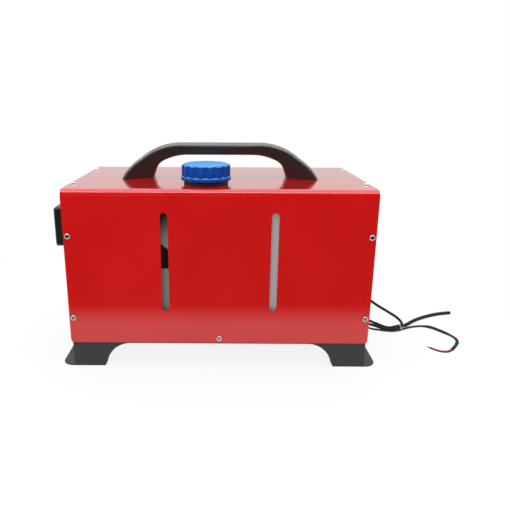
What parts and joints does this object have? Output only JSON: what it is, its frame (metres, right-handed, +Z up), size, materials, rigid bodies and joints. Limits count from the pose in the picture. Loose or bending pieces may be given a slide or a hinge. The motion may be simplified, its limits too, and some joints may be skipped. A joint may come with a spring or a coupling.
{
  "type": "diesel air heater",
  "caption": "Portable diesel air heater in a red sheet metal case on a black legged base, with a carry handle, ribbed filler cap, end controller and tied leads.",
  "frame": {"origin": "centre of the four foot bolt holes, on the floor plane under the case", "axes": "+X along the case towards the end with the leads, +Y from the slotted front to the rear, +Z up"},
  "size_m": [0.6128, 0.2434, 0.2915],
  "materials": {
    "cover_paint": "glossy red powder coat",
    "base_paint": "satin black powder coat",
    "handle_plastic": "moulded nylon, satin",
    "cap_plastic": "moulded blue plastic",
    "tank_plastic": "natural moulded polyethylene",
    "zinc_steel": "bright zinc",
    "black_rubber": "matt",
    "strap_steel": "galvanised",
    "heater_plastic": "glass filled nylon",
    "cast_aluminium": "as cast",
    "heater_steel": "stainless sheet",
    "motor_steel": "plated",
    "fan_plastic": "moulded",
    "board_case": "potted case",
    "circuit_board": "solder resist",
    "gasket_fibre": "graphite fibre",
    "brass": "machined",
    "controller_plastic": "fine texture",
    "screen_glass": "tinted window",
    "key_rubber": "soft touch",
    "hose_rubber": "matt",
    "filter_plastic": "clear moulding",
    "line_nylon": "natural nylon",
    "cord_black": "PVC sheath",
    "core_red": "PVC",
    "core_black": "PVC",
    "tinned_copper": "tinned strands",
    "tie_plastic": "nylon"
  },
  "bodies": {
    "case": {"cover_shell": "cover_paint", "left_end_panel": "base_paint", "right_end_panel": "base_paint", "base_frame": "base_paint", "cover_screws": "zinc_steel", "end_panel_screws": "zinc_steel", "carry_handle": "handle_plastic", "handle_bolts": "zinc_steel", "fuel_tank": "tank_plastic", "filler_grommet": "black_rubber", "tank_straps": "strap_steel", "heater_lower_case": "heater_plastic", "heater_upper_case": "heater_plastic", "heater_inlet_grille": "heater_plastic", "heater_outlet_nozzle": "heater_plastic", "heat_exchanger": "cast_aluminium", "burner_tube": "heater_steel", "glow_plug": "heater_steel", "impeller_housing": "cast_aluminium", "blower_motor": "motor_steel", "control_board": "board_case", "flange_gasket": "gasket_fibre", "exhaust_stub": "heater_steel", "intake_stub": "heater_plastic", "stud_nuts": "zinc_steel", "outlet_collar": "heater_plastic", "controller_back": "controller_plastic", "controller_front": "controller_plastic", "controller_board": "circuit_board", "controller_window": "screen_glass", "controller_screws": "zinc_steel", "tank_outlet_fitting": "brass", "fuel_filter": "filter_plastic", "fuel_hoses": "hose_rubber", "fuel_pump": "motor_steel", "pump_mount": "black_rubber", "fuel_line": "line_nylon", "cable_grommets": "black_rubber", "wiring_loom": "cord_black", "aux_lead": "cord_black", "power_lead": "cord_black", "lead_core_red": "core_red", "lead_core_black": "core_black", "bare_tips": "tinned_copper", "aux_lead_cap": "cord_black", "cord_tie": "tie_plastic"},
    "cap": {"filler_cap": "cap_plastic"},
    "cap_carrier": {"cap_seal": "black_rubber"},
    "rotor": {"motor_shaft": "motor_steel", "combustion_impeller": "cast_aluminium", "hot_air_fan": "fan_plastic"},
    "louvre": {"outlet_louvre": "heater_plastic"},
    "power_key": {"power_button": "key_rubber"},
    "menu_key": {"menu_button": "key_rubber"},
    "up_key": {"up_button": "key_rubber"},
    "confirm_key": {"confirm_button": "key_rubber"},
    "down_key": {"down_button": "key_rubber"},
    "plunger": {"pump_plunger": "heater_steel"}
  },
  "joints": [
    {"name": "cap_lift", "type": "slide", "parent": "case", "child": "cap_carrier", "axis": [0, 0, 1], "range_m": [0, 0.045]},
    {"name": "cap_turn", "type": "hinge", "parent": "cap_carrier", "child": "cap", "pos_m": [-0.0185, -0.064, 0.26], "axis": [0, 0, 1], "range_deg": [0, 540]},
    {"name": "rotor_spin", "type": "hinge", "parent": "case", "child": "rotor", "pos_m": [0.05, 0.056, 0.0973], "axis": [1, 0, 0], "continuous": true},
    {"name": "louvre_turn", "type": "hinge", "parent": "case", "child": "louvre", "pos_m": [-0.21, 0.056, 0.0973], "axis": [-1, 0, 0], "continuous": true},
    {"name": "pump_stroke", "type": "slide", "parent": "case", "child": "plunger", "axis": [0, 0, 1], "range_m": [0, 0.002], "stiffness_N_per_m": 400},
    {"name": "power_press", "type": "slide", "parent": "case", "child": "power_key", "axis": [1, 0, 0], "range_m": [0, 0.0008], "stiffness_N_per_m": 400},
    {"name": "menu_press", "type": "slide", "parent": "case", "child": "menu_key", "axis": [1, 0, 0], "range_m": [0, 0.0008], "stiffness_N_per_m": 400},
    {"name": "up_press", "type": "slide", "parent": "case", "child": "up_key", "axis": [1, 0, 0], "range_m": [0, 0.0008], "stiffness_N_per_m": 400},
    {"name": "confirm_press", "type": "slide", "parent": "case", "child": "confirm_key", "axis": [1, 0, 0], "range_m": [0, 0.0008], "stiffness_N_per_m": 400},
    {"name": "down_press", "type": "slide", "parent": "case", "child": "down_key", "axis": [1, 0, 0], "range_m": [0, 0.0008], "stiffness_N_per_m": 400}
  ]
}
